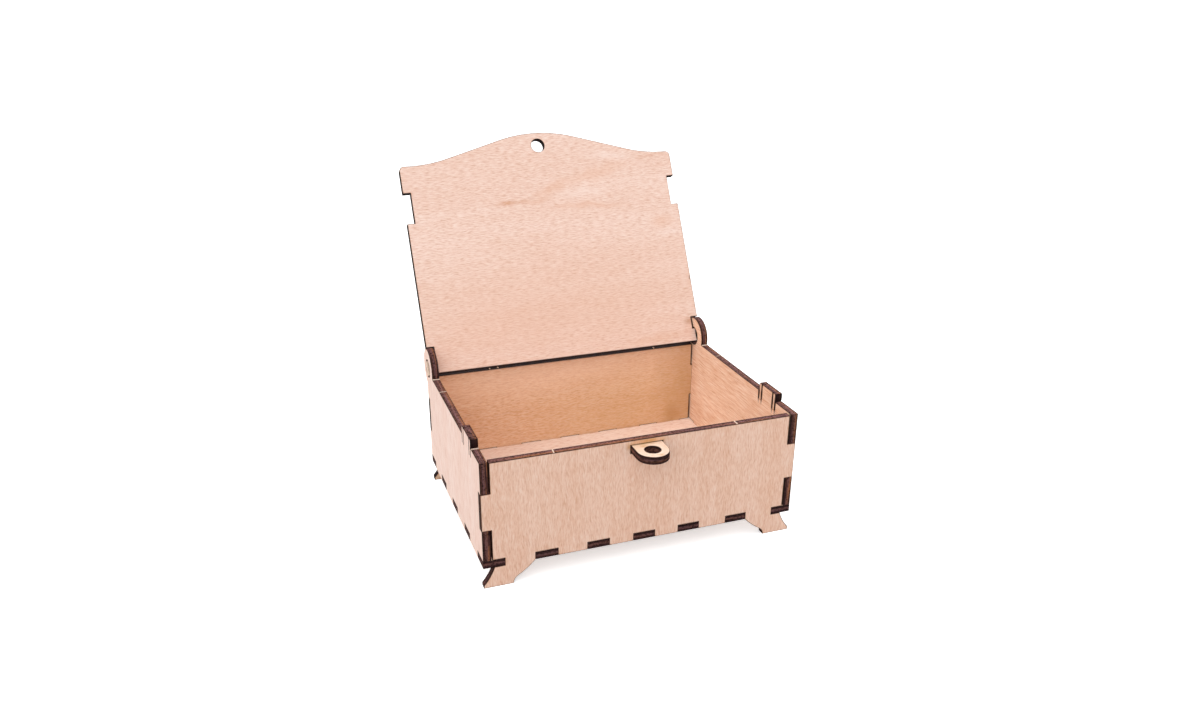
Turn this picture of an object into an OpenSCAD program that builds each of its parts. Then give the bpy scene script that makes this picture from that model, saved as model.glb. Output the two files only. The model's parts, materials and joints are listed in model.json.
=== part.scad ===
// Small treasure chest cut from plywood sheet: four walls and a bottom joined by fingers and tabs,
// a lid that turns on two tabs in the ears of the sides, and an eye for a small padlock.
// X runs to the right, Y to the back and Z up. Z = 0 is the table that the feet stand on.

/* [Box] */
// Width of the box across its sides
box_w = 126; // [105:1:160]
// Depth of the box across its front and back
box_d = 91; // [75:1:140]
// Height of the sides above the box's underside
box_h = 43; // [36:1:80]
// Thickness of the plywood sheet
sheet_t = 3; // [2.4:0.1:3.8]
// Drop of the front panel's top edge below the sides
front_drop = 0.4; // [0.2:0.1:0.8]

/* [Fingers and tabs] */
// Height of the finger at each upright corner of the front and back
finger_h = 15.1; // [10:0.1:22]
// Width of each tab on the bottom panel
tab_w = 8.5; // [6:0.1:10]
// Reach of the bottom panel's corner tabs along the walls
corner_tab = 8.1; // [6:0.1:9]
// Gap on the front and back between the middle tab and the next one
middle_gap = 10; // [8:0.1:14]
// Play between a finger or tab and each flank of its notch
joint_gap = 0.1; // [0.05:0.05:0.2]
// Gap between the sides and the front and back, above and below the fingers
corner_gap = 0.6; // [0.1:0.1:0.8]

/* [Feet] */
// Height of the feet below the box's underside
foot_h = 8.4; // [7:0.1:14]
// Width of a foot where it leaves the wall, from the box's corner
foot_w = 19.8; // [17:0.1:24]
// Width of a foot's sole
sole_w = 11.3; // [9:0.1:13]
// Set-back of a foot's outer edge at the top, from the box's corner
foot_setback = 4.2; // [3:0.1:6]
// Height of the upright edge at the toe
toe_h = 1.2; // [0.6:0.1:2]
// Radius of the hollow outer edge
flare_r = 22; // [12:1:40]
// Radius of the hollow above the sole's inner end
heel_r = 3.3; // [2.5:0.1:4]
// Radius of the full curve above that hollow
brow_r = 30; // [16:1:60]

/* [Lid] */
// Angle that the lid stands open
lid_open = 119; // [95:1:130]
// Inset of the lid's side edges and hinge tabs from the box's sides
lid_inset = 0.3; // [0.1:0.1:0.8]
// Set-back of the lid's shoulders from the box's front
shoulder_setback = 0.6; // [0:0.1:2]
// Rise of the lid's crown in front of its shoulders
crown_rise = 11.8; // [10:0.1:15]
// Slope of the straight stretch between crown and shoulder
crown_slope = 16; // [14:0.5:20]
// Straight stretch at the outer end of each shoulder
shoulder_flat = 4; // [2.5:0.1:8]
// Radius of the lid's front corners
lid_corner_r = 2; // [1:0.1:2.5]
// Gap below the closed lid
lid_gap = 0.4; // [0.2:0.1:1]
// Gap between the lid and the inner faces of ears and tongues
side_gap = 0.6; // [0.3:0.1:1]

/* [Hinge] */
// Distance from the box's back to the hinge axis
hinge_inset = 3.4; // [3:0.1:5]
// Radius of the ears
ear_r = 8.4; // [7:0.1:11]
// Radius of the holes in the ears
ear_hole_r = 3.8; // [3:0.1:4.6]
// Play between the front corners of the lid's hinge tabs and the holes
hinge_play = 0.25; // [0.2:0.05:0.5]
// Play between the lid's rear corners and the holes
rear_play = 0.6; // [0.3:0.05:0.8]
// Gap between an ear and the lid's notch around it
ear_gap = 0.2; // [0.2:0.1:1]
// Gap between the back panel's top edge and the lid's turning rear edge
swing_gap = 0.9; // [0.4:0.1:2]

/* [Snap tongues] */
// Distance from the box's front to the middle of a tongue
tongue_back = 19; // [14:0.1:26]
// Length of a tongue at its base
tongue_l = 12.4; // [10:0.1:16]
// Height of a tongue above the side's top edge
tongue_h = 3.3; // [2.6:0.1:5]
// Bulge of the springy leaf at each end of a tongue
barb = 0.3; // [0.1:0.05:0.45]
// Thickness of a leaf
leaf_w = 1.65; // [1.2:0.05:2.2]
// Width of the slits beside the leaves
slit_w = 0.5; // [0.5:0.05:0.8]
// Depth of the slits below the side's top edge
slit_depth = 3.5; // [2:0.1:8]
// Play between a bulge and the lid's notch
notch_play = 0.15; // [0.1:0.05:0.4]

/* [Lock eye] */
// Distance of the padlock holes in front of the box
hole_reach = 5.4; // [4.4:0.1:7]
// Radius of the padlock holes in the eye and the lid
hole_r = 3; // [2:0.1:3.5]
// Radius of the eye's round nose
eye_r = 6.2; // [5.2:0.1:8]
// Drop of the eye's upper face below the sides' top edge
eye_drop = 2.4; // [1.8:0.1:5]
// Play around the eye in the front panel's slot
slot_gap = 0.2; // [0.1:0.05:0.4]
// Width of the eye's tail behind the front panel
tail_w = 18; // [16:0.5:26]
// Length of the tail
tail_l = 3; // [2:0.1:6]

/* [Hidden] */
$fn = 96;

outer_veneer = "#EBCBB5";
inner_veneer = "#E3B48D";
lid_veneer = "#F2D5C4";

// Overlap of shapes that are joined in one outline, and overrun of cuts
lap = 0.2;
overrun = 5;

inner_w = box_w - 2 * sheet_t;
inner_d = box_d - 2 * sheet_t;
finger_z = sheet_t + (box_h - sheet_t - finger_h) / 2;

// Middles of the bottom tabs on one half of a wall, from the wall's middle outwards
end_gap = (box_w / 2 - corner_tab - 2.5 * tab_w - middle_gap) / 2;
wall_tabs = [0, tab_w + middle_gap, 2 * tab_w + middle_gap + end_gap];
side_tabs = [0, tab_w + (box_d - 2 * corner_tab - 3 * tab_w) / 4];

// The hinge axis lies in the middle of the lid's thickness
axis_y = box_d / 2 - hinge_inset;
axis_z = box_h + lid_gap + sheet_t / 2;
front_r = ear_hole_r - hinge_play;
rear_r = ear_hole_r - rear_play;
tab_front = sqrt(front_r * front_r - sheet_t * sheet_t / 4);
tab_rear = sqrt(rear_r * rear_r - sheet_t * sheet_t / 4);
back_top = axis_z - rear_r - swing_gap;

// Lid sizes, with lengths counted forwards from the hinge axis
lid_w = box_w - 2 * lid_inset;
neck_w = inner_w - 2 * side_gap;
shoulder_v = axis_y + box_d / 2 - shoulder_setback;
crown_v = shoulder_v + crown_rise;
hole_v = axis_y + box_d / 2 + hole_reach;
tongue_y = tongue_back - box_d / 2;
tongue_v = axis_y - tongue_y;
notch_l = tongue_l + 2 * (barb + notch_play);

// The crown and each shoulder are arcs of one radius, joined by a straight slope
ogee_run = lid_w / 2 - shoulder_flat;
arc_rise = 1 - cos(crown_slope);
ogee_r = (ogee_run * sin(crown_slope) - crown_rise * cos(crown_slope)) / arc_rise / 2;
crown_end = [ogee_r * sin(crown_slope), crown_v - ogee_r * arc_rise];
shoulder_end = [ogee_run - ogee_r * sin(crown_slope), shoulder_v + ogee_r * arc_rise];
shoulder_start = [ogee_run, shoulder_v];

eye_z = box_h - eye_drop;
inner_face = sheet_t - box_d / 2;

// The middle of the open chest's depth lies over the origin
front_reach = -box_d / 2 - hole_reach - eye_r;
lid_reach = axis_y - crown_v * cos(lid_open) + sheet_t / 2 * sin(lid_open);
middle_y = (front_reach + max(lid_reach, axis_y + ear_r)) / 2;

module placed() {
    translate([0, -middle_y, foot_h]) children();
}

module both_ends() {
    children();
    mirror([1, 0]) children();
}

// The sliver between the line from a to b and an arc on the right of it
module bow(a, b, r) {
    chord = norm(b - a);
    translate(a)
        rotate(atan2(b[1] - a[1], b[0] - a[0]))
            intersection() {
                translate([chord / 2, sqrt(r * r - chord * chord / 4)]) circle(r);
                translate([0, -r]) square([chord, r + lap]);
            }
}

// Notches along a bottom edge, one for each tab and one at the corner
module tab_notches(tabs, half_l) {
    notch_h = sheet_t + joint_gap;
    both_ends() {
        for (x = tabs)
            translate([x - tab_w / 2 - joint_gap, 0]) square([tab_w + 2 * joint_gap, notch_h]);
        translate([half_l - corner_tab - joint_gap, 0]) square([corner_tab + overrun, notch_h]);
    }
}

// Right foot of a wall, as an ogee bracket
module foot() {
    inner_top = [box_w / 2 - foot_w, 0];
    outer_top = [box_w / 2 - foot_setback, 0];
    heel = [box_w / 2 - sole_w - heel_r, -foot_h];
    knee = heel + heel_r * [cos(60), sin(60)];
    sole = [box_w / 2 - sole_w, -foot_h];
    toe = [box_w / 2, -foot_h];
    toe_top = [box_w / 2, toe_h - foot_h];
    root = [0, lap];
    difference() {
        union() {
            polygon([inner_top + root, inner_top, knee, sole, toe, toe_top, outer_top, outer_top + root]);
            bow(inner_top, knee, brow_r);
        }
        translate(heel) circle(heel_r);
        bow(outer_top, toe_top, flare_r);
    }
}

// Outline of the front and back, which differ in their top edge
module wall_outline(top) {
    difference() {
        union() {
            translate([corner_gap - inner_w / 2, 0]) square([inner_w - 2 * corner_gap, top]);
            translate([-box_w / 2, finger_z + joint_gap]) square([box_w, finger_h - 2 * joint_gap]);
            both_ends() foot();
        }
        tab_notches(wall_tabs, box_w / 2);
    }
}

// Half of a snap tongue: block and leaf, drawn from the tongue's middle and the side's top edge
module half_tongue() {
    barb_r = (tongue_h * tongue_h / 4 + barb * barb) / (2 * barb);
    translate([-lap, -lap]) square([tongue_l / 2 + lap, tongue_h + lap]);
    bow([tongue_l / 2, 0], [tongue_l / 2, tongue_h], barb_r);
}

module half_slits() {
    translate([tongue_l / 2, -slit_depth]) square([slit_w, slit_depth]);
    translate([tongue_l / 2 - leaf_w - slit_w, -slit_depth])
        square([slit_w, slit_depth + tongue_h + overrun]);
}

// Outline of a side, with Y to the right and Z up
module side_outline() {
    difference() {
        union() {
            translate([-box_d / 2, 0]) square([box_d, box_h]);
            translate([axis_y, axis_z]) circle(ear_r);
            translate([tongue_y, box_h]) both_ends() half_tongue();
        }
        translate([axis_y, axis_z]) circle(ear_hole_r);
        translate([tongue_y, box_h]) both_ends() half_slits();
        both_ends() translate([inner_d / 2, finger_z]) square([sheet_t + overrun, finger_h]);
        tab_notches(side_tabs, box_d / 2);
    }
}

module bottom_outline() {
    translate([-inner_w / 2, -inner_d / 2]) square([inner_w, inner_d]);
    both_ends() {
        for (x = wall_tabs) translate([x - tab_w / 2, -box_d / 2]) square([tab_w, box_d]);
        for (y = side_tabs, turn = [-1, 1])
            translate([0, turn * y - tab_w / 2]) square([box_w / 2, tab_w]);
        for (turn = [-1, 1])
            translate([box_w / 2 - corner_tab, turn * (box_d - corner_tab) / 2 - corner_tab / 2])
                square(corner_tab);
    }
}

module lid_plate() {
    plate_l = tab_rear + shoulder_v;
    translate([-lap, -tab_rear]) square([lid_w / 2 + lap, plate_l - lid_corner_r]);
    translate([-lap, -tab_rear]) square([lid_w / 2 - lid_corner_r + lap, plate_l]);
    translate([lid_w / 2 - lid_corner_r, shoulder_v - lid_corner_r]) circle(lid_corner_r);
}

module half_crown() {
    difference() {
        polygon([[-lap, shoulder_v - lap], [ogee_run, shoulder_v - lap], shoulder_start,
                 shoulder_end, crown_end, [-lap, crown_end[1]]]);
        bow(shoulder_end, shoulder_start, ogee_r);
    }
}

// Outline of the lid, with the hinge axis at the origin and the front edge upwards. In each side
// edge a notch goes round the ear, which leaves a hinge tab behind it, and another takes the tongue.
module lid_outline() {
    difference() {
        union() {
            both_ends() {
                lid_plate();
                half_crown();
            }
            bow(crown_end, [-crown_end[0], crown_end[1]], ogee_r);
        }
        both_ends() {
            translate([neck_w / 2, tab_front]) square([lid_w, ear_r + ear_gap - tab_front]);
            translate([neck_w / 2, tongue_v - notch_l / 2]) square([lid_w, notch_l]);
        }
        translate([0, hole_v]) circle(hole_r);
    }
}

// Outline of the eye, seen from above
module eye_outline() {
    difference() {
        union() {
            translate([0, -box_d / 2 - hole_reach]) circle(eye_r);
            translate([-eye_r, -box_d / 2 - hole_reach]) square([2 * eye_r, hole_reach + sheet_t + lap]);
            translate([-tail_w / 2, inner_face]) square([tail_w, tail_l]);
        }
        translate([0, -box_d / 2 - hole_reach]) circle(hole_r);
    }
}

module front_panel() {
    slot_w = 2 * (eye_r + slot_gap);
    slot_h = sheet_t + 2 * slot_gap;
    color(outer_veneer)
        placed()
            translate([0, inner_face, 0])
                rotate([90, 0, 0])
                    linear_extrude(sheet_t)
                        difference() {
                            wall_outline(box_h - front_drop);
                            translate([-slot_w / 2, eye_z + slot_gap - slot_h]) square([slot_w, slot_h]);
                        }
}

module back_panel() {
    color(inner_veneer)
        placed()
            translate([0, box_d / 2, 0])
                rotate([90, 0, 0])
                    linear_extrude(sheet_t)
                        wall_outline(back_top);
}

module side(x) {
    placed()
        translate([x, 0, 0])
            rotate([90, 0, 90])
                linear_extrude(sheet_t)
                    side_outline();
}

module left_side() {
    color(outer_veneer) side(-box_w / 2);
}

module right_side() {
    color(inner_veneer) side(box_w / 2 - sheet_t);
}

module bottom_panel() {
    color(inner_veneer) placed() linear_extrude(sheet_t) bottom_outline();
}

module lid() {
    color(lid_veneer)
        placed()
            translate([0, axis_y, axis_z])
                rotate([180 - lid_open, 0, 0])
                    linear_extrude(sheet_t, center = true)
                        lid_outline();
}

module lock_eye() {
    color(outer_veneer)
        placed()
            translate([0, 0, eye_z - sheet_t])
                linear_extrude(sheet_t)
                    eye_outline();
}

front_panel();
back_panel();
left_side();
right_side();
bottom_panel();
lid();
lock_eye();
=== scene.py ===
import json
import math

import bmesh
import bpy
import numpy as np
from mathutils import Matrix, Vector
from mathutils.geometry import delaunay_2d_cdt


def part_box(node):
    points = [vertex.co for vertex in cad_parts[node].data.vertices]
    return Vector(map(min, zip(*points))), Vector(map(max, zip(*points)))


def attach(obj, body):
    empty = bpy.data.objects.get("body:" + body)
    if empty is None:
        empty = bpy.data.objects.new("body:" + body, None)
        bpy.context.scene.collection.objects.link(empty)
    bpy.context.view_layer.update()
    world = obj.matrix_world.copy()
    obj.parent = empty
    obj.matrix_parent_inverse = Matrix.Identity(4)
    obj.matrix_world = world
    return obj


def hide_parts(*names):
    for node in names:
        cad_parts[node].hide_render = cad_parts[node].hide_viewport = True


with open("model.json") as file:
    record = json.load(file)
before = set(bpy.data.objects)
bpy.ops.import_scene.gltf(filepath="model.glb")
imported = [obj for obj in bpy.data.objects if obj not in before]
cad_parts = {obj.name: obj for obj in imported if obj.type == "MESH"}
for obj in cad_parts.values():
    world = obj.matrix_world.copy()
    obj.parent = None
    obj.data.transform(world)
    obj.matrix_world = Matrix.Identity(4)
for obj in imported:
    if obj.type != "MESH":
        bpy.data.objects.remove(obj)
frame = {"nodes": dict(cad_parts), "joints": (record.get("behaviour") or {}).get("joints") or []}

mm = 0.001
scene = bpy.context.scene
scene.view_settings.view_transform = "Standard"
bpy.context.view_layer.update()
print("frame loaded:", len(frame["nodes"]), "sheets of plywood")


def linear(hexCode):  # sRGB hex to a linear colour
    parts = [int(hexCode[i:i + 2], 16) / 255 for i in (1, 3, 5)]
    return [p / 12.92 if p <= 0.04045 else ((p + 0.055) / 1.055) ** 2.4 for p in parts] + [1.0]


def addNode(tree, kind, inputs=None, **settings):
    # inputs are values or the sockets to link from, by name, or by number where a node repeats a name
    node = tree.nodes.new(kind)
    for name, value in settings.items():
        setattr(node, name, value)
    for socket, value in (inputs or {}).items():
        if isinstance(value, bpy.types.NodeSocket):
            tree.links.new(value, node.inputs[socket])
        else:
            node.inputs[socket].default_value = value
    return node


def newMaterial(name):
    material = bpy.data.materials.new(name)
    material.use_nodes = True
    material.node_tree.nodes.clear()
    return material, material.node_tree


noiseMiddle = (0.5, 0.5, 0.5)   # what a noise's colour varies about

# Sheet: 3 mm plywood of a thin face veneer, a core and a second veneer. All lengths are in millimetres.
sheet = {
    "veneer": 0.85,        # thickness of each face veneer
    "glue": 0.2,           # width of a glue line on the cut edge, wider than real so that it shows
    "arris": 0.1,          # bevel that the beam leaves along each edge
    "groove": 0.03,        # depth of the glue lines
    "scorchRings": (0.3, 0.75, 1.6, 3.2),   # points on the faces that carry the scorch away from a cut
    "ringPitch": 0.6,
    "ringKeep": 0.98,      # share of a ring's reach that its points keep from every cut
    "gridPitch": 4.5,
    "weld": 0.002,         # corners closer than this are one
    "level": 0.999,        # cosine above which a face lies in the sheet's plane
    "pointGap": 1e-6,      # the least gap between two points of a face's mesh
    "sliver": 1e-5,        # square mm, twice the area below which a triangle is dropped
    "softBend": 28,        # degrees, the sharpest bend that is shaded smooth
}

# Beech veneer, sliced, sanded and left bare: pale pinkish tan, covered in short wavy dashes of pores and
# rays a shade darker or paler than the wood, with soft wandering figure and almost no gloss.
# Lengths are in millimetres. A band is the part of a noise over which a mark goes from none to full.
beech = {
    "fibre": (16.0, 0.7),         # length and width of the fibre streaks, coarser than real, to show
    "figure": (90.0, 9.0),        # soft bands of the growth rings
    "wander": (13.0, 1.5),        # length and sway of the grain's waves
    "figureBand": {"From Min": 0.36, "From Max": 0.68},
    "fibreBand": {"From Min": 0.42, "From Max": 0.72},
    "fibreHex": "#D8A888",
    "dashBand": {"From Min": 0.5, "From Max": 0.74},
    "dashHex": "#BE7C52",
    "glintBand": {"From Min": 0.5, "From Max": 0.26},
    "glintHex": "#FFF4EC",
    "glintShare": 0.7,            # strength of the glints beside that of the dashes
    "scorchHex": "#CE9260",
    "scorchStrength": 0.75,
    "scorchLeast": 0.1,           # reach of the scorch where there is least of it
    "patchesPerMm": 0.35,         # in the uneven scorch
    "patchBand": {"From Min": 0.3, "From Max": 0.75},
    "charHex": "#3E2522",
    "charStrength": 0.9,
    "charWidth": 0.32,            # of the black line along a cut
    "cloudsPerMm": 0.12,          # in the noise that a spot's outline follows
    "raggedness": 5.0,            # how far a spot's outline wanders
    "spotFade": 0.8,             # share of a spot's radius over which it fades
    "ior": 1.5,
    "gloss": 0.3,
    "roughness": {"To Min": 0.58, "To Max": 0.72},
    "bumpDepth": 0.02,
    "bumpStrength": 0.35,
}


def spotMask(tree, around, spot, axis):  # a soft round or long spot, placed in the part's frame
    tilt = Matrix.Rotation(math.radians(spot.get("turn", 0)), 3, axis).to_euler()
    local = addNode(tree, "ShaderNodeMapping", {"Vector": around, "Location": Vector(spot["at"]) * mm,
                    "Rotation": tilt, "Scale": Vector(spot["size"]) * mm}, vector_type="TEXTURE")
    ball = addNode(tree, "ShaderNodeTexGradient", {"Vector": local.outputs[0]}, gradient_type="SPHERICAL")
    return addNode(tree, "ShaderNodeMapRange", {"Value": ball.outputs[1], "To Max": spot["strength"],
                   "From Max": spot.get("fade", beech["spotFade"])})


def beechVeneer(piece, axes, side):
    look = piece[side]
    material, tree = newMaterial("bareBeechVeneer_" + piece["node"] + "_" + side)
    objectPlace = addNode(tree, "ShaderNodeTexCoord").outputs["Object"]
    place = addNode(tree, "ShaderNodeMapping", {"Vector": objectPlace, "Location": look["shift"],
                    "Rotation": Matrix(axes).to_euler(),
                    "Scale": [1 / mm] * 3}).outputs[0]   # mm, X along the grain

    waveLength, sway = look.get("wander", beech["wander"])
    wave = addNode(tree, "ShaderNodeTexNoise", {"Vector": place, "Scale": 1 / waveLength, "Detail": 2.0})
    swing = addNode(tree, "ShaderNodeMapRange", {"Value": wave.outputs[0], "To Min": -sway, "To Max": sway})
    offset = addNode(tree, "ShaderNodeCombineXYZ", {"Y": swing.outputs[0]})
    grain = addNode(tree, "ShaderNodeVectorMath", {0: place, 1: offset.outputs[0]}).outputs[0]

    def stretched(size):  # grain coordinates with one unit for a pattern's length and width
        share = (1 / size[0], 1 / size[1], 1 / size[1])
        return addNode(tree, "ShaderNodeVectorMath", {0: grain, 1: share}, operation="MULTIPLY").outputs[0]

    figureSize = look.get("figureSize", beech["figure"])
    figure = addNode(tree, "ShaderNodeTexNoise", {"Vector": stretched(figureSize), "Scale": 1.0,
                     "Detail": 3.0, "Roughness": 0.55, "Distortion": 0.4})
    bands = addNode(tree, "ShaderNodeMapRange", {"Value": figure.outputs[0], **beech["figureBand"],
                    "To Max": look["figure"]}, interpolation_type="SMOOTHSTEP")
    fibre = addNode(tree, "ShaderNodeTexNoise", {"Vector": stretched(beech["fibre"]), "Scale": 1.0,
                    "Detail": 2.0, "Roughness": 0.6})
    streaks = addNode(tree, "ShaderNodeMapRange", {"Value": fibre.outputs[0], **beech["fibreBand"],
                      "To Max": look["fibre"]})
    wisp = addNode(tree, "ShaderNodeTexNoise", {"Vector": stretched(look["dashSize"]), "Scale": 1.0,
                   "Detail": 2.0, "Roughness": 0.65, "Distortion": 0.1}).outputs[0]
    dashes = addNode(tree, "ShaderNodeMapRange", {"Value": wisp, **beech["dashBand"],
                     "To Max": look["dash"]})
    glints = addNode(tree, "ShaderNodeMapRange", {"Value": wisp, **beech["glintBand"],
                     "To Max": beech["glintShare"] * look["dash"]})

    colour = addNode(tree, "ShaderNodeMix", {0: bands.outputs[0], 6: linear(look["pale"]),
                     7: linear(look["deep"])}, data_type="RGBA").outputs[2]
    for mask, shade in ((streaks, "fibreHex"), (dashes, "dashHex"), (glints, "glintHex")):
        colour = addNode(tree, "ShaderNodeMix", {0: mask.outputs[0], 6: colour, 7: linear(beech[shade])},
                         data_type="RGBA").outputs[2]

    cloud = addNode(tree, "ShaderNodeTexNoise", {"Vector": place, "Scale": beech["cloudsPerMm"],
                    "Detail": 3.0})
    shove = addNode(tree, "ShaderNodeVectorMath", {0: cloud.outputs[1], 1: noiseMiddle},
                    operation="SUBTRACT")
    shove = addNode(tree, "ShaderNodeVectorMath", {0: shove.outputs[0], "Scale": beech["raggedness"] * mm},
                    operation="SCALE")
    ragged = addNode(tree, "ShaderNodeVectorMath", {0: objectPlace, 1: shove.outputs[0]}).outputs[0]

    # The beam browns the face beside a cut, unevenly, and blackens its very edge
    cut = addNode(tree, "ShaderNodeAttribute", attribute_name="cutDistance").outputs["Fac"]
    patchy = addNode(tree, "ShaderNodeTexNoise", {"Vector": place, "Scale": beech["patchesPerMm"],
                     "Detail": 3.0})
    reach = addNode(tree, "ShaderNodeMapRange", {"Value": patchy.outputs[0], **beech["patchBand"],
                    "To Min": beech["scorchLeast"], "To Max": look["scorch"]})
    halo = addNode(tree, "ShaderNodeMath", {0: cut, 1: reach.outputs[0]}, operation="DIVIDE")
    scorch = addNode(tree, "ShaderNodeMapRange", {"Value": halo.outputs[0],
                     "To Min": beech["scorchStrength"], "To Max": 0.0})
    colour = addNode(tree, "ShaderNodeMix", {0: scorch.outputs[0], 6: colour,
                     7: linear(beech["scorchHex"])}, data_type="RGBA").outputs[2]
    # stains, and spots of painted shade and painted light, each mixed over the colour
    for spotMark in look.get("stainsAndPaintedLight", ()):   # its outline is ragged unless it is smooth
        tint = spotMask(tree, objectPlace if spotMark.get("smooth") else ragged, spotMark, axes[2])
        colour = addNode(tree, "ShaderNodeMix", {0: tint.outputs[0], 6: colour,
                         7: linear(spotMark["hex"])}, data_type="RGBA").outputs[2]
    charWidth = look.get("charWidth", beech["charWidth"])
    line = addNode(tree, "ShaderNodeMapRange", {"Value": cut, "From Min": sheet["arris"],
                   "From Max": charWidth, "To Min": beech["charStrength"], "To Max": 0.0})
    colour = addNode(tree, "ShaderNodeMix", {0: line.outputs[0], 6: colour,
                     7: linear(beech["charHex"])}, data_type="RGBA").outputs[2]

    rough = addNode(tree, "ShaderNodeMapRange", {"Value": fibre.outputs[0], **beech["roughness"]})
    relief = addNode(tree, "ShaderNodeMath", {0: fibre.outputs[0], 1: dashes.outputs[0]},
                     operation="SUBTRACT")
    bump = addNode(tree, "ShaderNodeBump", {"Strength": beech["bumpStrength"],
                   "Distance": beech["bumpDepth"] * mm, "Height": relief.outputs[0]})
    shader = addNode(tree, "ShaderNodeBsdfPrincipled", {"Base Color": colour, "Roughness": rough.outputs[0],
                     "IOR": beech["ior"], "Specular IOR Level": beech["gloss"],
                     "Normal": bump.outputs[0]})
    addNode(tree, "ShaderNodeOutputMaterial", {0: shader.outputs[0]})
    return material


# Plywood edge cut by laser: charred to a purplish brown in three plies between dark glue lines, the core
# paler, with sooty specks, browner streaks along the plies and almost no gloss; a painted sheen lightens
# edges that face up, and painted shade darkens the side-facing walls of narrow cuts and gaps.
edge = {
    "veneerHex": "#442A2C",
    "coreHex": "#6B4A4B",
    "glueHex": "#241415",
    "glueStrength": 0.85,
    "mottle": 0.8,              # mm, size of the sooty specks
    "streak": (14.0, 0.55),     # mm, length and width of the browner streaks
    "sootHex": "#1C1112",
    "sootBand": {"From Min": 0.46, "From Max": 0.58},
    "smearShare": 0.55,         # of long smears in the soot, the rest being specks
    "smearsPerStreak": 2.0,
    "specks": {"From Min": 0.5, "From Max": 0.66, "To Max": 0.65},
    "burnt": {"From Min": 0.3, "From Max": 0.5, "To Max": 0.85},   # beside the faces, 0.5 from the middle
    "bareHex": "#A56C4C",
    "bareBand": {"From Min": 0.43, "From Max": 0.6},
    "bareReach": {"From Min": 0.1, "From Max": 0.3},   # shares of the thickness over which streaks thin out
    "bareLeast": 0.2,           # share of the streaks beyond that
    "paintedSheenHex": "#986B6B",     # painted sheen: a lighter colour where an edge faces up and catches the light
    "paintedSheenFacing": {"From Min": 0.75, "From Max": 1.0},
    # painted shade on the edges that face sideways
    "paintedWallShadeFacing": {"From Min": 0.4, "From Max": 0.8, "To Min": 1.0, "To Max": 0.0},
    "ior": 1.5,
    "gloss": 0.05,
    "roughness": {"From Min": 0.3, "From Max": 0.7, "To Min": 0.6, "To Max": 0.8},
    "bumpDepth": 0.05,          # mm
    "bumpStrength": 0.5,
}


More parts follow.
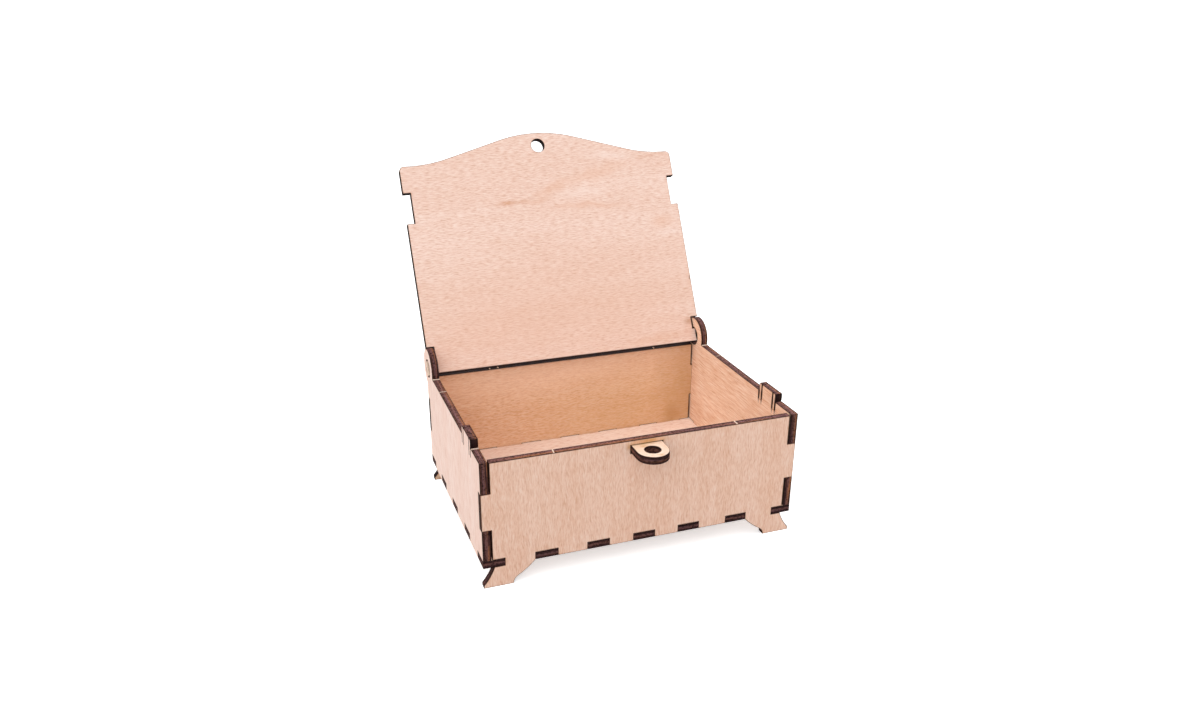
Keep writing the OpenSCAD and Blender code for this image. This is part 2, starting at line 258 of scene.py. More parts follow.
def laserCutEdge(piece):
    material, tree = newMaterial("charredPlywoodEdge_" + piece["node"])
    given = addNode(tree, "ShaderNodeTexCoord").outputs
    place = given["Object"]
    facing = addNode(tree, "ShaderNodeSeparateXYZ", {0: given["Normal"]}).outputs["Z"]
    depth = addNode(tree, "ShaderNodeAttribute", attribute_name="plyDepth").outputs["Fac"]   # 0 to 1
    middle = addNode(tree, "ShaderNodeMath", {0: depth, 1: 0.5}, operation="SUBTRACT")
    away = addNode(tree, "ShaderNodeMath", {0: middle.outputs[0]}, operation="ABSOLUTE").outputs[0]

    # Plies and the glue lines between them
    coreShare = 0.5 - sheet["veneer"] / sheetThickness
    glueShare = sheet["glue"] / sheetThickness
    core = addNode(tree, "ShaderNodeMapRange", {"Value": away, "From Min": coreShare,
                   "From Max": coreShare - glueShare})
    seam = addNode(tree, "ShaderNodeMath", {0: away, 1: coreShare}, operation="SUBTRACT")
    nearSeam = addNode(tree, "ShaderNodeMath", {0: seam.outputs[0]}, operation="ABSOLUTE")
    glue = addNode(tree, "ShaderNodeMapRange", {"Value": nearSeam.outputs[0], "From Max": glueShare,
                   "To Min": edge["glueStrength"], "To Max": 0.0})

    # Soot in specks and in smears along the plies, and streaks that the beam left browner
    streakLength, streakWidth = edge["streak"]
    mottle = addNode(tree, "ShaderNodeTexNoise", {"Vector": place, "Scale": 1 / (edge["mottle"] * mm),
                     "Detail": 4.0, "Roughness": 0.65}).outputs[0]
    along = addNode(tree, "ShaderNodeVectorMath", {0: place, "Scale": 1 / (streakLength * mm)},
                    operation="SCALE").outputs[0]
    through = addNode(tree, "ShaderNodeMath", {0: depth, 1: sheetThickness / streakWidth},
                      operation="MULTIPLY").outputs[0]
    streaks = addNode(tree, "ShaderNodeTexNoise", {"Vector": along, "W": through, "Scale": 1.0,
                      "Detail": 3.0}, noise_dimensions="4D")
    smears = addNode(tree, "ShaderNodeTexNoise", {"Vector": along, "W": through,
                     "Scale": edge["smearsPerStreak"], "Detail": 4.0}, noise_dimensions="4D")
    both = addNode(tree, "ShaderNodeMix", {0: edge["smearShare"], 2: mottle, 3: smears.outputs[0]})
    soot = addNode(tree, "ShaderNodeMapRange", {"Value": both.outputs[0], **edge["sootBand"],
                   "To Min": piece["char"]})
    offBare = addNode(tree, "ShaderNodeMath", {0: depth, 1: piece["bareDepth"]}, operation="SUBTRACT")
    offBare = addNode(tree, "ShaderNodeMath", {0: offBare.outputs[0]}, operation="ABSOLUTE")
    share = addNode(tree, "ShaderNodeMapRange", {"Value": offBare.outputs[0], **edge["bareReach"],
                    "To Min": piece["bare"], "To Max": edge["bareLeast"] * piece["bare"]})
    bare = addNode(tree, "ShaderNodeMapRange", {"Value": streaks.outputs[0], **edge["bareBand"],
                   "To Max": share.outputs[0]})
    burnt = addNode(tree, "ShaderNodeMapRange", {"Value": away, **edge["burnt"]})
    # painted sheen: edges that face up are drawn lighter, as if lit from above
    paintedSheen = addNode(tree, "ShaderNodeMapRange", {"Value": facing, **edge["paintedSheenFacing"],
                     "To Max": piece["paintedSheen"]})
    specks = addNode(tree, "ShaderNodeMapRange", {"Value": mottle, **edge["specks"]})
    masks = [(paintedSheen, "paintedSheenHex"), (glue, "glueHex"), (soot, "sootHex"), (bare, "bareHex"),
             (specks, "sootHex"), (burnt, "sootHex")]
    if "paintedWallShade" in piece:   # painted shade on the side-facing walls of narrow cuts and gaps, within a spot
        walls = addNode(tree, "ShaderNodeMapRange", {"Value": facing, **edge["paintedWallShadeFacing"]})
        cloud = spotMask(tree, place, piece["paintedWallShade"], Vector((0, 0, 1)))
        paintedWallShade = addNode(tree, "ShaderNodeMath", {0: walls.outputs[0], 1: cloud.outputs[0]},
                        operation="MULTIPLY")
        masks.append((paintedWallShade, "sootHex"))

    colour = addNode(tree, "ShaderNodeMix", {0: core.outputs[0], 6: linear(edge["veneerHex"]),
                     7: linear(edge["coreHex"])}, data_type="RGBA").outputs[2]
    for mask, shade in masks:
        colour = addNode(tree, "ShaderNodeMix", {0: mask.outputs[0], 6: colour, 7: linear(edge[shade])},
                         data_type="RGBA").outputs[2]
    rough = addNode(tree, "ShaderNodeMapRange", {"Value": mottle, **edge["roughness"]})
    bump = addNode(tree, "ShaderNodeBump", {"Strength": edge["bumpStrength"],
                   "Distance": edge["bumpDepth"] * mm, "Height": mottle})
    shader = addNode(tree, "ShaderNodeBsdfPrincipled", {"Base Color": colour, "Roughness": rough.outputs[0],
                     "IOR": edge["ior"], "Specular IOR Level": edge["gloss"], "Normal": bump.outputs[0]})
    addNode(tree, "ShaderNodeOutputMaterial", {0: shader.outputs[0]})
    return material


def sheetFace(piece):  # cut rings of the outer face, its axes and the sheet's thickness
    bm = bmesh.new()
    bm.from_mesh(frame["nodes"][piece["node"]].data)
    bmesh.ops.remove_doubles(bm, verts=bm.verts, dist=sheet["weld"] * mm)
    bm.normal_update()
    area = {}
    for face in bm.faces:
        key = tuple(round(c, 3) for c in face.normal)
        area[key] = area.get(key, 0) + face.calc_area()
    normal = Vector(max(area, key=area.get)).normalized()
    if normal.dot(Vector(piece["outsideFaces"])) < 0:
        normal.negate()
    grain = Vector(piece["grain"])
    along = (grain - normal * normal.dot(grain)).normalized()
    heights = [v.co.dot(normal) for v in bm.verts]
    top = [f for f in bm.faces if f.normal.dot(normal) > sheet["level"]]   # a list keeps the rings' order
    follow = {}
    for face in top:
        for corner in face.loops:
            if not any(f in top for f in corner.edge.link_faces if f is not face):
                follow[corner.vert] = corner.link_loop_next.vert
    rings = []
    while follow:
        start, vert = follow.popitem()
        ring = [start.co.copy()]
        while vert is not start:
            ring.append(vert.co.copy())
            vert = follow.pop(vert)
        rings.append(ring)
    bm.free()
    return rings, (along, normal.cross(along), normal), max(heights) - min(heights)


def inset(ring, normal, distance):  # ring of points moved into the sheet by a small distance
    moved = []
    for i, point in enumerate(ring):
        before = (point - ring[i - 1]).normalized()
        after = (ring[(i + 1) % len(ring)] - point).normalized()
        left, right = normal.cross(before), normal.cross(after)
        moved.append(point + (left + right) * (distance / (1 + left.dot(right))))
    return moved


def edgeProfile(thickness):  # inset and depth of each ring round the cut edge, outer face first
    arris, veneer, half = sheet["arris"], sheet["veneer"], sheet["glue"] / 2
    first = [(arris, 0), (0, arris), (0, veneer - half), (sheet["groove"], veneer), (0, veneer + half)]
    return first + [(reach, thickness - depth) for reach, depth in reversed(first)]


def distanceToCut(points, starts, ends):  # from each point to the nearest cut, all flat
    run = ends - starts
    away = points[:, None] - starts
    share = np.clip((away * run).sum(2) / (run * run).sum(1), 0, 1)
    return np.linalg.norm(away - share[..., None] * run, axis=2).min(1)


def insideCut(points, starts, ends):  # true where a line to the right crosses an odd number of cuts
    spans = (starts[:, 1] > points[:, None, 1]) != (ends[:, 1] > points[:, None, 1])
    rise = np.where(ends[:, 1] == starts[:, 1], 1.0, ends[:, 1] - starts[:, 1])
    share = (points[:, None, 1] - starts[:, 1]) / rise
    crossing = starts[:, 0] + share * (ends[:, 0] - starts[:, 0])
    return (spans & (crossing > points[:, None, 0])).sum(1) % 2 == 1


def facePoints(starts, ends):  # points on the face beside the cuts, and a grid over the rest
    run = ends - starts
    length = np.linalg.norm(run, axis=1)
    inwards = np.stack([-run[:, 1], run[:, 0]], 1) / length[:, None]
    found = []
    for reach in sheet["scorchRings"]:
        pitch = max(reach, sheet["ringPitch"])
        counts = np.ceil(length / pitch).astype(int)
        index = np.repeat(np.arange(len(counts)), counts)
        share = np.concatenate([(np.arange(n) + 0.5) / n for n in counts])
        points = starts[index] + run[index] * share[:, None] + inwards[index] * reach
        found.append(points[distanceToCut(points, starts, ends) > sheet["ringKeep"] * reach])
    low, high = starts.min(0), starts.max(0)
    grid = np.stack(np.meshgrid(np.arange(low[0], high[0], sheet["gridPitch"]),
                                np.arange(low[1], high[1], sheet["gridPitch"])), -1).reshape(-1, 2)
    found.append(grid[distanceToCut(grid, starts, ends) > sheet["gridPitch"]])
    points = np.concatenate(found)
    return points[insideCut(points, starts, ends)]


outsideSlot, insideSlot, edgeSlot = range(3)   # material slots of every sheet


def buildSheet(piece):
    rings, axes, thickness = sheetFace(piece)
    along, across, normal = axes
    profile = edgeProfile(thickness / mm)
    bm = bmesh.new()
    cutDistance = bm.verts.layers.float.new("cutDistance")   # mm
    plyDepth = bm.verts.layers.float.new("plyDepth")         # 0 on the outer face, 1 on the inner one
    layers = []       # one list of vertices for each step of the profile
    for reach, depth in profile:
        layer = [bm.verts.new(point - normal * depth * mm)
                 for ring in rings for point in inset(ring, normal, reach * mm)]
        for vert in layer:
            vert[plyDepth] = depth * mm / thickness
        layers.append(layer)
    starts = [sum(len(r) for r in rings[:i]) for i in range(len(rings))]
    follow = [s + (i + 1) % len(r) for s, r in zip(starts, rings) for i in range(len(r))]
    for upper, lower in zip(layers, layers[1:]):
        for i, j in enumerate(follow):
            face = bm.faces.new((upper[j], upper[i], lower[i], lower[j]))
            face.material_index = edgeSlot
            face.smooth = True

    cut = np.array([[p.dot(along), p.dot(across)] for ring in rings for p in ring]) / mm
    rim = [Vector((v.co.dot(along), v.co.dot(across))) / mm for v in layers[0]]
    points = rim + [Vector(p) for p in facePoints(cut, cut[follow])]
    wholeHull = 0     # the triangles outside the rim are dropped here
    flat, _, triangles, origin, _, _ = delaunay_2d_cdt(points, list(enumerate(follow)), [], wholeHull,
                                                       sheet["pointGap"])
    flatXY = np.array([p[:] for p in flat])
    rimXY = np.array([p[:] for p in rim])
    corners = flatXY[np.array(triangles)]
    doubleArea = np.linalg.det(corners[:, 1:] - corners[:, :1])
    kept = insideCut(corners.mean(1), rimXY, rimXY[follow]) & (doubleArea > sheet["sliver"])
    triangles = [t for t, wanted in zip(triangles, kept) if wanted]
    away = distanceToCut(flatXY, cut, cut[follow])
    for layer, turn, slotIndex in ((layers[0], 1, outsideSlot), (layers[-1], -1, insideSlot)):
        height = layer[0].co.dot(normal)
        verts = []
        for i, point in enumerate(flat):
            onRim = [k for k in origin[i] if k < len(rim)]
            place = (along * point.x + across * point.y) * mm + normal * height
            vert = layer[onRim[0]] if onRim else bm.verts.new(place)
            vert[cutDistance] = away[i]
            vert[plyDepth] = layer[0][plyDepth]
            verts.append(vert)
        for triangle in triangles:
            bm.faces.new([verts[i] for i in triangle[::turn]]).material_index = slotIndex
    mesh = bpy.data.meshes.new(piece["name"])
    bm.to_mesh(mesh)
    bm.free()
    mesh.set_sharp_from_angle(angle=math.radians(sheet["softBend"]))
    mesh.materials.append(beechVeneer(piece, axes, "outside"))
    mesh.materials.append(beechVeneer(piece, axes, "inside"))
    mesh.materials.append(laserCutEdge(piece))
    made = bpy.data.objects.new(piece["name"], mesh)
    scene.collection.objects.link(made)
    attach(made, piece["body"])
    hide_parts(piece["node"])
    print("sheet built:", piece["name"], len(mesh.polygons), "faces")


sheetThickness = (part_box("bottom_panel")[1].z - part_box("bottom_panel")[0].z) / mm

# Painted shade with a sharp outline: beside a cut, where the lid turns, and at the four slits of a tongue
paintedGapShade = {"hex": "#1C1010", "strength": 1, "smooth": True}
paintedHingeShade = {"hex": "#160D0D", "strength": 1, "smooth": True}
paintedSlitShade = {"hex": "#3A2220", "strength": 0.85, "smooth": True, "size": (2, 0.95, 5.4), "fade": 0.5}
slits = {"y": (-50.05, -47.9, -39.3, -37.15), "z": 50.6}


def tongueSlitShade(x):
    return [{**paintedSlitShade, "at": (x, y, slits["z"])} for y in slits["y"]]


# Veneers that the faces share: strengths of the marks, length and width of the dashes, wider than real so
# that they show, and reach of the scorch. A face's own values below change what differs, and its shift
# gives it a figure of its own.
pinkFace = {"pale": "#F5D5C5", "deep": "#EBC0A9", "figure": 0.5, "fibre": 0.25, "dash": 0.5,
            "dashSize": (1.7, 0.4), "scorch": 0.7}
orangeFace = {"pale": "#F1CAA8", "deep": "#E6B68F", "figure": 0.6, "fibre": 0.3, "dash": 0.62,
              "dashSize": (2.2, 0.28), "scorch": 0.7}

# Each piece's cut edge has its shares of char, of bare streaks, which lie at a depth, and of painted sheen
# on its up-facing edges
frontPanel = {
    "name": "frontPanel", "node": "front_panel", "body": "box", "slot": "wall_ply",
    "outsideFaces": (0, -1, 0), "grain": (0, 0, 1),
    "char": 0.0, "bare": 0.9, "bareDepth": 0.3, "paintedSheen": 0.6,
    # painted shade on the side-facing walls of its finger gaps and notches
    "paintedWallShade": {"at": (0, -61.1, 30), "size": (90, 20, 60), "strength": 0.7, "fade": 0.2},
    "outside": {
        # deeper than the other faces: partly its own veneer, partly painted shade on the face turned from
        # the key
        **pinkFace, "pale": "#EFC9B4", "deep": "#E5B69B", "figureSize": (50, 5), "fibre": 0.2,
        "dashSize": (2.6, 0.32), "shift": (0, 0, 0),
        "stainsAndPaintedLight": [
            {"at": (1, -62.6, 49.8), "size": (9.5, 2, 1.8), "hex": "#D29A58", "strength": 0.8},
            {"at": (-5.5, -62.6, 48.4), "size": (3, 2, 1.6), "hex": "#C98F50", "strength": 0.6},
        ],
    },
    "inside": {**orangeFace, "shift": (40, 0, 0)},
}
buildSheet(frontPanel)

backPanel = {
    "name": "backPanel", "node": "back_panel", "body": "box", "slot": "wall_ply",
    "outsideFaces": (0, 1, 0), "grain": (1, 0, 0),
    # edges nearly black: partly char, partly painted shade of the band where the lid meets the back
    "char": 0.95, "bare": 0.0, "bareDepth": 0.5, "paintedSheen": 0.0,
    "outside": {**pinkFace, "shift": (300, 0, 0)},
    "inside": {
        **orangeFace, "shift": (340, 0, 0),
        "stainsAndPaintedLight": [
            # painted shade along the top where the lid's lower edge meets it, painted light over the upper
            # part, and painted shade, darker and yellower, towards the lower right and down the right end by
            # the corner
            {**paintedHingeShade, "at": (0, 25.4, 49.2), "size": (400, 0.6, 0.6), "fade": 0.5},
            {"at": (-10, 25.4, 46), "size": (110, 8, 16), "hex": "#F6CBB2", "strength": 0.4},
            {"at": (40, 25.4, 16), "size": (75, 8, 34), "hex": "#C89F6C", "strength": 0.45},
            {"at": (60, 25.4, 32), "size": (22, 8, 40), "hex": "#B58D5E", "strength": 0.5},
            {"at": (51, 25.4, 15.5), "size": (6.5, 4, 6), "hex": "#AE7C44", "strength": 0.42},
        ],
    },
}
buildSheet(backPanel)

leftSide = {
    "name": "leftSide", "node": "left_side", "body": "box", "slot": "wall_ply",
    "outsideFaces": (-1, 0, 0), "grain": (0, 0, 1),
    "char": 0.0, "bare": 0.9, "bareDepth": 0.85, "paintedSheen": 0.5,
    # painted shade on the side-facing walls about the tongue
    "paintedWallShade": {"at": (-61.5, -43.6, 51.5), "size": (20, 13, 8), "strength": 0.9, "fade": 0.3},
    "outside": {
        # paler than the other faces: partly its own veneer, partly painted light on the side facing the key
        **pinkFace, "pale": "#FADFD4", "deep": "#F3CFC0", "dashSize": (6.5, 0.45), "charWidth": 0.2,
        "shift": (600, 0, 0),
    },
    "inside": {
        **orangeFace, "shift": (640, 0, 0),
        # painted shade in the gap at the front corner and in the tongue's slits
        "stainsAndPaintedLight": [{**paintedGapShade, "at": (-60, -62.4, 30), "size": (2, 1.9, 80)}] + tongueSlitShade(-60),
    },
}
buildSheet(leftSide)

rightSide = {
    "name": "rightSide", "node": "right_side", "body": "box", "slot": "wall_ply",
    "outsideFaces": (1, 0, 0), "grain": (0, 1, 0),
    "char": 0.0, "bare": 0.9, "bareDepth": 0.25, "paintedSheen": 0.6,
    # painted shade on the side-facing walls about the tongue
    "paintedWallShade": {"at": (61.5, -43.6, 51.5), "size": (20, 13, 8), "strength": 0.9, "fade": 0.3},
    "outside": {**pinkFace, "shift": (900, 0, 0)},
    "inside": {
        **orangeFace, "pale": "#F0CDB3", "deep": "#E4BC9E", "dash": 0.75, "dashSize": (7, 0.28),
        "wander": (13, 0.5), "shift": (940, 0, 0),
        "stainsAndPaintedLight": [
            # painted shade in the gaps at the back and front corners, round the ear's hole, along the lid's
            # edge on the ear, and in the tongue's slits
            {**paintedGapShade, "at": (60, 27, 44), "size": (2, 1.7, 10)},
            {**paintedGapShade, "at": (60, 27, 17), "size": (2, 1.7, 9)},
            {**paintedGapShade, "at": (60, -62.4, 30), "size": (2, 1.9, 80)},
            {"at": (60, 27.8, 58.4), "size": (2, 1.6, 5), "hex": "#2E1C1A", "strength": 0.85, "fade": 0.3,
             "turn": -29, "smooth": True},
            {**paintedGapShade, "at": (60, 25, 53.3), "size": (2, 4.5, 4.5), "strength": 0.95, "fade": 0.12},
        ] + tongueSlitShade(60),
    },
}
buildSheet(rightSide)

bottomPanel = {
    "name": "bottomPanel", "node": "bottom_panel", "body": "box", "slot": "bottom_ply",
    "outsideFaces": (0, 0, -1), "grain": (1, 0, 0),
    "char": 0.2, "bare": 0.15, "bareDepth": 0.5, "paintedSheen": 0.0,
    "outside": {**pinkFace, "shift": (1200, 0, 0)},
    "inside": {
        **pinkFace, "pale": "#FBE6D9", "deep": "#F4D5C3", "scorch": 1.4, "dash": 0.55,
        "dashSize": (3.0, 0.42), "charWidth": 0.14, "shift": (1240, 0, 0),
    },
}
buildSheet(bottomPanel)

# The lid's inner face shows a flame in the veneer, paler wood inside it, burns at its right edge, and
# painted shade on the tabs that turn in the ears and along its lower edge
lidFigure = [
    {"at": (0, 32, 66), "size": (120, 28, 50), "hex": "#DFAF93", "strength": 0.28},
    {"at": (-32, 31, 67), "size": (46, 13, 24), "hex": "#E2AC90", "strength": 0.11},
    {"at": (44, 24, 54.5), "size": (22, 3, 4), "hex": "#D9A07A", "strength": 0.27, "turn": -4},
    {"at": (28, 62.1, 123.3), "size": (15, 4, 4), "hex": "#E2AE90", "strength": 0.31, "turn": -16},
    {"at": (15, 60.8, 121), "size": (14, 3.6, 3.6), "hex": "#E2AE90", "strength": 0.23, "turn": -20},
    {"at": (3, 59, 117.7), "size": (12, 3, 3), "hex": "#DFA684", "strength": 0.31, "turn": -22},
    {"at": (17, 57.6, 115.2), "size": (15, 3, 3), "hex": "#FAE8E0", "strength": 0.31},
    {"at": (19, 54.7, 109.9), "size": (25, 1.7, 1.7), "hex": "#DDA482", "strength": 0.31, "turn": 2},
    {"at": (-5, 56.4, 113), "size": (10, 1.8, 1.8), "hex": "#D99E78", "strength": 0.31, "turn": -6},
    {"at": (-16.5, 56.3, 112.8), "size": (9, 1.7, 1.7), "hex": "#CB8757", "strength": 0.6, "turn": -3},
    {"at": (33, 65.7, 129.9), "size": (15, 3, 3), "hex": "#FBEBE4", "strength": 0.31},
    {"at": (53, 65.2, 128.8), "size": (11, 1, 1), "hex": "#D39A78", "strength": 0.31, "turn": -3},
    {"at": (53, 50.2, 101.8), "size": (7, 4, 4), "hex": "#DFA683", "strength": 0.31},
    {"at": (57, 47.4, 96.8), "size": (8, 2, 2), "hex": "#FAE8E0", "strength": 0.31},
    {"at": (62.2, 36.1, 76.4), "size": (1.3, 1.3, 1.8), "hex": "#6B4226", "strength": 0.9},
    {"at": (58.5, 27, 60), "size": (3, 2.6, 2.6), "hex": "#B27C54", "strength": 0.6},
    # painted shade on the hinge tabs inside the ears' holes and along the lid's lower edge
    {**paintedHingeShade, "at": (63.15, 25, 53.3), "size": (3, 7, 7), "fade": 0.1},
    {**paintedHingeShade, "at": (-63.15, 25, 53.3), "size": (3, 7, 7), "fade": 0.1},
    {**paintedHingeShade, "at": (0, 22.36, 51.48), "size": (400, 0.6, 0.6), "fade": 0.5},
]
lid = {
    "name": "lidSheet", "node": "lid", "body": "lid", "slot": "lid_ply",
    "outsideFaces": (0, 1, 0), "grain": (1, 0, 0),
    # edges nearly black: partly char, partly painted shade of the band along its lower edge and in its holes
    "char": 0.95, "bare": 0.0, "bareDepth": 0.5, "paintedSheen": 0.0,
    "outside": {**pinkFace, "shift": (1500, 0, 0)},
    "inside": {
        **pinkFace, "pale": "#F0D1C3", "deep": "#E6BDA9", "figure": 0.3, "fibre": 0.2, "dash": 0.64,
        "dashSize": (2.9, 0.29), "shift": (1540, 0, 0), "stainsAndPaintedLight": lidFigure,
    },
}
buildSheet(lid)

lockEye = {
    "name": "lockEye", "node": "lock_eye", "body": "box", "slot": "wall_ply",
    "outsideFaces": (0, 0, 1), "grain": (1, 0, 0),
    "char": 0.4, "bare": 0.3, "bareDepth": 0.5, "paintedSheen": 0.0,
    "outside": {
        **pinkFace, "pale": "#F7DEC9", "deep": "#F0CEB2", "dash": 0.4, "shift": (1800, 0, 0),
        "stainsAndPaintedLight": [
            {"at": (0, -62.4, 49), "size": (8, 1.6, 2), "hex": "#D3A258", "strength": 0.7},
            {"at": (-2.2, -64.4, 49), "size": (2.4, 1.3, 2), "hex": "#D6984C", "strength": 0.6},
            {"at": (1.7, -72, 49), "size": (2.2, 1.3, 2), "hex": "#DCA266", "strength": 0.5},
            {"at": (6, -68, 49), "size": (3.5, 5, 2), "hex": "#ECBE9E", "strength": 0.5},
            {"at": (-5.5, -65.5, 49), "size": (3, 3, 2), "hex": "#ECC09C", "strength": 0.5},
        ],
    },
    "inside": {**pinkFace, "shift": (1840, 0, 0)},
}
buildSheet(lockEye)

# Holding bridges: short stretches left uncut to keep a piece in its sheet, each snapped to a torn stub.
# Each has its place in millimetres, x along the front and back panels' top edges and y along the sides',
# then its breadth and its share of soot.
boxBridges = {
    "name": "boxBridges", "body": "box", "slot": "wall_ply",
    "front": ((-35.6, 1.0, 0.0), (36.9, 1.0, 0.0)),
    "back": ((-36.1, 1.0, 0.2), (-32.6, 1.0, 0.2), (40.6, 1.0, 0.2)),
    "left": ((-51.1, 1.8, 0.35), (2.8, 0.9, 0.25), (16.3, 1.8, 0.1)),
    "right": ((2.3, 0.8, 0.5), (16.3, 1.6, 0.1)),
    "sideRise": 0.4,                   # of the sides' top edges above the front panel's
    "length": 2.8, "width": 0.42, "height": 0.3,
    "slant": 6,                        # degrees that a stub may lie askew
    "tear": 0.2, "tearSize": 0.4,      # depth and spacing of the torn fibres
    "seed": 4,
}
lidBridges = {                         # on the outer ends of the hinge tabs
    "name": "lidBridges", "body": "lid", "slot": "lid_ply",
    "length": 6.0, "width": 2.5, "height": 1.3,
    "breadth": 1.0, "soot": 0.1,
    "tear": 0.3, "tearSize": 0.5,
    "seed": 9,
}

# Beech torn across its fibres and never burnt: pale cream, rough and quite matt.
tornBeech = {
    "paleHex": "#F6DFCB",
    "deepHex": "#D9AE8C",
    "sootHex": "#5A4446",
    "fibre": 0.35,         # mm, spacing of the torn fibres, coarser than real so that they show
    "fibreBand": {"From Min": 0.45, "From Max": 0.75},
    "ior": 1.5,
    "gloss": 0.2,
    "roughness": 0.85,
}


def tornFibres():
    material, tree = newMaterial("tornBeechFibre")
    place = addNode(tree, "ShaderNodeTexCoord").outputs["Object"]
    fibre = addNode(tree, "ShaderNodeTexNoise", {"Vector": place, "Scale": 1 / (tornBeech["fibre"] * mm),
                    "Detail": 2.0})
    shade = addNode(tree, "ShaderNodeMapRange", {"Value": fibre.outputs[0], **tornBeech["fibreBand"]})
    colour = addNode(tree, "ShaderNodeMix", {0: shade.outputs[0], 6: linear(tornBeech["paleHex"]),
                     7: linear(tornBeech["deepHex"])}, data_type="RGBA").outputs[2]
    soot = addNode(tree, "ShaderNodeAttribute", attribute_name="soot").outputs["Fac"]
    colour = addNode(tree, "ShaderNodeMix", {0: soot, 6: colour, 7: linear(tornBeech["sootHex"])},
                     data_type="RGBA").outputs[2]
    shader = addNode(tree, "ShaderNodeBsdfPrincipled", {"Base Color": colour, "IOR": tornBeech["ior"],
                     "Roughness": tornBeech["roughness"], "Specular IOR Level": tornBeech["gloss"]})
    addNode(tree, "ShaderNodeOutputMaterial", {0: shader.outputs[0]})
    return material


def bridgeTree():  # a torn block on each point, turned and widened by the point's own values
    tree = bpy.data.node_groups.new("snappedBridges", "GeometryNodeTree")
    tree.interface.new_socket("Geometry", in_out="INPUT", socket_type="NodeSocketGeometry")
    for name in ("Length", "Width", "Height", "Tear", "Tear Size", "Seed"):
        tree.interface.new_socket(name, in_out="INPUT", socket_type="NodeSocketFloat")
    tree.interface.new_socket("Material", in_out="INPUT", socket_type="NodeSocketMaterial")
    tree.interface.new_socket("Geometry", in_out="OUTPUT", socket_type="NodeSocketGeometry")
    given = addNode(tree, "NodeGroupInput").outputs
    turn = addNode(tree, "GeometryNodeInputNamedAttribute", {"Name": "turn"}, data_type="FLOAT_VECTOR")
    breadth = addNode(tree, "GeometryNodeInputNamedAttribute", {"Name": "breadth"}, data_type="FLOAT")
    width = addNode(tree, "ShaderNodeMath", {0: given["Width"], 1: breadth.outputs[0]}, operation="MULTIPLY")
    size = addNode(tree, "ShaderNodeCombineXYZ", {"X": given["Length"], "Y": width.outputs[0],
                   "Z": given["Height"]})
    block = addNode(tree, "GeometryNodeMeshCube", {"Vertices X": 19, "Vertices Y": 9, "Vertices Z": 5})
    blocks = addNode(tree, "GeometryNodeInstanceOnPoints", {"Points": given["Geometry"],
                     "Instance": block.outputs["Mesh"], "Rotation": turn.outputs[0],
                     "Scale": size.outputs[0]})
    solid = addNode(tree, "GeometryNodeRealizeInstances", {0: blocks.outputs[0]})
    place = addNode(tree, "GeometryNodeInputPosition").outputs[0]
    spacing = addNode(tree, "ShaderNodeMath", {0: 1.0, 1: given["Tear Size"]}, operation="DIVIDE")
    noise = addNode(tree, "ShaderNodeTexNoise", {"Vector": place, "W": given["Seed"],
                    "Scale": spacing.outputs[0], "Detail": 2.0}, noise_dimensions="4D")
    swing = addNode(tree, "ShaderNodeVectorMath", {0: noise.outputs[1], 1: noiseMiddle},
                    operation="SUBTRACT")
    offset = addNode(tree, "ShaderNodeVectorMath", {0: swing.outputs[0], "Scale": given["Tear"]},
                     operation="SCALE")
    torn = addNode(tree, "GeometryNodeSetPosition", {"Geometry": solid.outputs[0],
                   "Offset": offset.outputs[0]})
    made = addNode(tree, "GeometryNodeSetMaterial", {"Geometry": torn.outputs[0],
                   "Material": given["Material"]})
    addNode(tree, "NodeGroupOutput", {0: made.outputs[0]})
    return tree


def boxStubs(piece):  # place, length direction, facing, breadth and soot of each stub on the walls' edges
    slants = np.random.default_rng(piece["seed"])
    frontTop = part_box("front_panel")[1].z
    nodes = {"front": "front_panel", "back": "back_panel", "left": "left_side", "right": "right_side"}
    stubs = []
    for wall, node in nodes.items():
        low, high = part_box(node)
        middle = (low + high) / 2
        onSide = wall in ("left", "right")
        top = frontTop + piece["sideRise"] * mm if onSide else high.z
        for at, breadth, soot in piece[wall]:
            askew = math.radians(slants.uniform(-piece["slant"], piece["slant"]))
            across = Vector((math.cos(askew), math.sin(askew), 0))
            place = Vector((middle.x, at * mm, top)) if onSide else Vector((at * mm, middle.y, top))
            stubs.append((place, across if onSide else across.yxz, Vector((0, 0, 1)), breadth, soot))
    return stubs


def lidStubs(piece):  # the same for the ends of the hinge tabs
    hinge = next(Vector(joint["pos_m"]) for joint in frame["joints"] if joint["name"] == "lid_hinge")
    low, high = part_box("lid")
    _, (_, across, _), _ = sheetFace(lid)
    ends = ((low.x, -1), (high.x, 1))
    return [(Vector((x, hinge.y, hinge.z)), across, Vector((facing, 0, 0)), piece["breadth"], piece["soot"])
            for x, facing in ends]


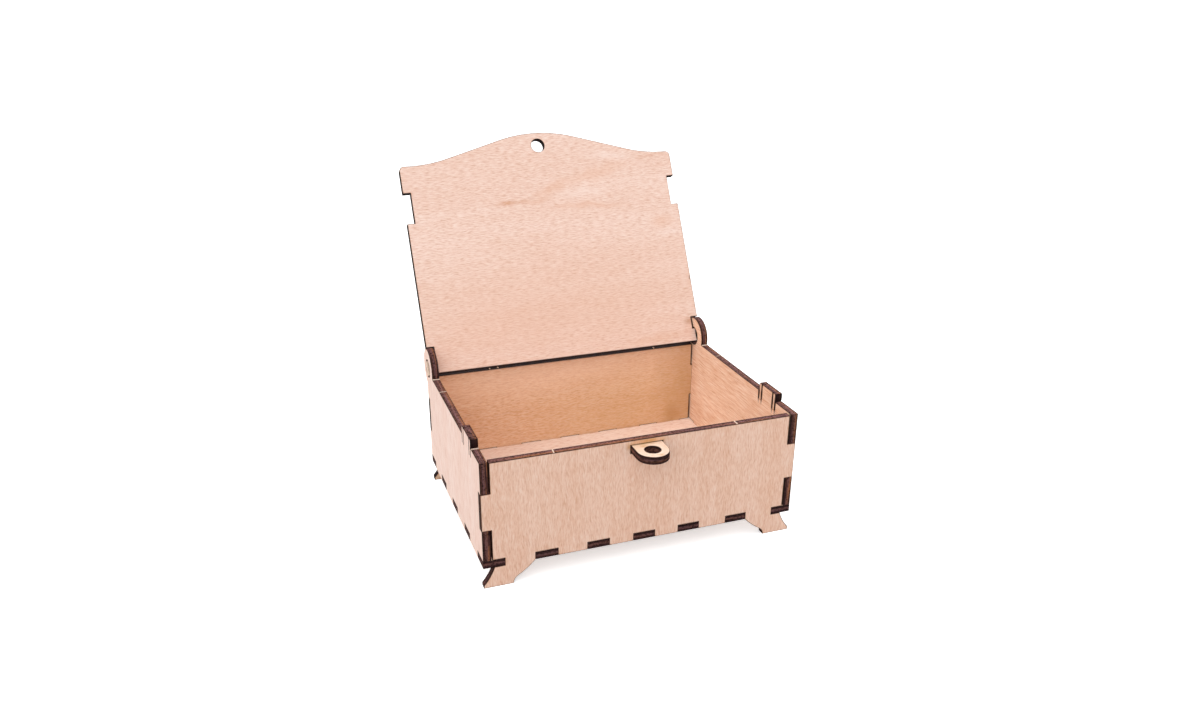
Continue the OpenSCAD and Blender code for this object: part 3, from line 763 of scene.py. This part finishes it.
def buildBridges(piece, stubs):
    turns = []
    for _, along, facing, _, _ in stubs:
        across = facing.cross(along).normalized()
        turns.extend(Matrix((across.cross(facing), across, facing)).transposed().to_euler())
    points = bpy.data.meshes.new(piece["name"])
    points.from_pydata([stub[0] for stub in stubs], [], [])
    points.attributes.new("turn", "FLOAT_VECTOR", "POINT").data.foreach_set("vector", turns)
    points.attributes.new("breadth", "FLOAT", "POINT").data.foreach_set("value", [stub[3] for stub in stubs])
    points.attributes.new("soot", "FLOAT", "POINT").data.foreach_set("value", [stub[4] for stub in stubs])
    made = bpy.data.objects.new(piece["name"], points)
    scene.collection.objects.link(made)
    modifier = made.modifiers.new("snappedBridges", "NODES")
    modifier.node_group = bridges
    sizes = {"Length": "length", "Width": "width", "Height": "height", "Tear": "tear",
             "Tear Size": "tearSize"}
    values = {name: piece[key] * mm for name, key in sizes.items()}
    values.update({"Seed": float(piece["seed"]), "Material": tornWood})
    for name, value in values.items():
        modifier[bridges.interface.items_tree[name].identifier] = value
    seen = bpy.context.evaluated_depsgraph_get()
    mesh = bpy.data.meshes.new_from_object(made.evaluated_get(seen), depsgraph=seen)
    made.modifiers.clear()
    made.data = mesh
    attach(made, piece["body"])
    print("bridges built:", piece["name"], len(stubs), "stubs,", len(mesh.polygons), "faces")


bridges = bridgeTree()
tornWood = tornFibres()
buildBridges(boxBridges, boxStubs(boxBridges))
buildBridges(lidBridges, lidStubs(lidBridges))

# Floor: smooth white studio sweep, flat and matt. The camera sees it white, with the object's soft shadow.
floor = {"seenHex": "#FFFFFF", "lightHex": "#CFCDCB", "size": 40.0, "lift": 0.5, "roughness": 0.9}


def studioFloor():
    material, tree = newMaterial("mattWhiteSweep")
    seen = addNode(tree, "ShaderNodeLightPath").outputs["Is Camera Ray"]
    colour = addNode(tree, "ShaderNodeMix", {0: seen, 6: linear(floor["lightHex"]),
                     7: linear(floor["seenHex"])}, data_type="RGBA").outputs[2]
    lift = addNode(tree, "ShaderNodeMath", {0: seen, 1: floor["lift"]}, operation="MULTIPLY")
    shader = addNode(tree, "ShaderNodeBsdfPrincipled", {"Base Color": colour,
                     "Roughness": floor["roughness"], "Specular IOR Level": 0.0,
                     "Emission Color": (1, 1, 1, 1), "Emission Strength": lift.outputs[0]})
    addNode(tree, "ShaderNodeOutputMaterial", {0: shader.outputs[0]})
    half = floor["size"] / 2
    mesh = bpy.data.meshes.new("floor")
    corners = [(-half, -half, 0), (half, -half, 0), (half, half, 0), (-half, half, 0)]
    mesh.from_pydata(corners, [], [(0, 1, 2, 3)])
    mesh.materials.append(material)
    ground = bpy.data.objects.new("floor", mesh)
    scene.collection.objects.link(ground)


studioFloor()

# Light: a broad soft key high on the left in front, weak fills on the other sides, and an even room
light = {
    "room": 0.41,
    "lamps": {
        "keyLamp": {"from": (-0.60, -0.36, 0.71), "spread": 80, "level": 0.68},
        "fillLamp": {"from": (0.55, -0.40, 0.73), "spread": 90, "level": 0.16},
        "rearLamp": {"from": (0.22, 0.92, 0.32), "spread": 70, "level": 0.34},
        "sideLamp": {"from": (0.96, 0.18, 0.22), "spread": 60, "level": 0.24},
    },
}


def studioLight():
    world = bpy.data.worlds.new("whiteRoom")
    scene.world = world
    world.use_nodes = True
    tree = world.node_tree
    tree.nodes.clear()
    rays = addNode(tree, "ShaderNodeLightPath").outputs
    seen = addNode(tree, "ShaderNodeMath", {0: rays["Is Camera Ray"], 1: rays["Is Glossy Ray"]},
                   operation="ADD")
    seen = addNode(tree, "ShaderNodeMath", {0: seen.outputs[0], 1: rays["Is Transmission Ray"]},
                   operation="ADD", use_clamp=True)
    strength = addNode(tree, "ShaderNodeMapRange", {"Value": seen.outputs[0], "To Min": light["room"],
                       "To Max": 1.0})
    room = addNode(tree, "ShaderNodeBackground", {"Color": (1, 1, 1, 1), "Strength": strength.outputs[0]})
    addNode(tree, "ShaderNodeOutputWorld", {0: room.outputs[0]})
    for name, lamp in light["lamps"].items():
        sun = bpy.data.lights.new(name, "SUN")
        sun.angle = math.radians(lamp["spread"])
        sun.energy = lamp["level"] * math.pi    # a surface square to it renders at this share of its colour
        holder = bpy.data.objects.new(name, sun)
        holder.rotation_euler = Vector(lamp["from"]).to_track_quat("Z", "Y").to_euler()
        scene.collection.objects.link(holder)


studioLight()

# Camera: matched to the photograph, whose frame is 1200 by 720 pixels
view = {
    "place": (-0.1305, -0.3605, 0.2101),
    "azimuth": -19.94, "elevation": 23.47, "roll": 0.3,
    "focal": 989.3, "centre": (589.63, 392.37), "frame": (1200, 720),   # pixels
    "sensor": 36,          # mm
    "clip": (0.01, 20),
}


def photoCamera():
    lens = bpy.data.cameras.new("photoCamera")
    width, height = view["frame"]
    lens.sensor_width = view["sensor"]
    lens.lens = view["focal"] / width * lens.sensor_width
    lens.shift_x = (width / 2 - view["centre"][0]) / width
    lens.shift_y = (view["centre"][1] - height / 2) / width
    lens.clip_start, lens.clip_end = view["clip"]
    camera = bpy.data.objects.new("photoCamera", lens)
    camera.location = view["place"]
    turn = Matrix.Rotation(math.radians(view["azimuth"]), 4, "Z")
    tilt = Matrix.Rotation(math.radians(90 - view["elevation"]), 4, "X")
    roll = Matrix.Rotation(math.radians(view["roll"]), 4, "Z")
    camera.rotation_euler = (turn @ tilt @ roll).to_euler()
    scene.collection.objects.link(camera)
    scene.camera = camera


photoCamera()
print("stage, lights and camera set")
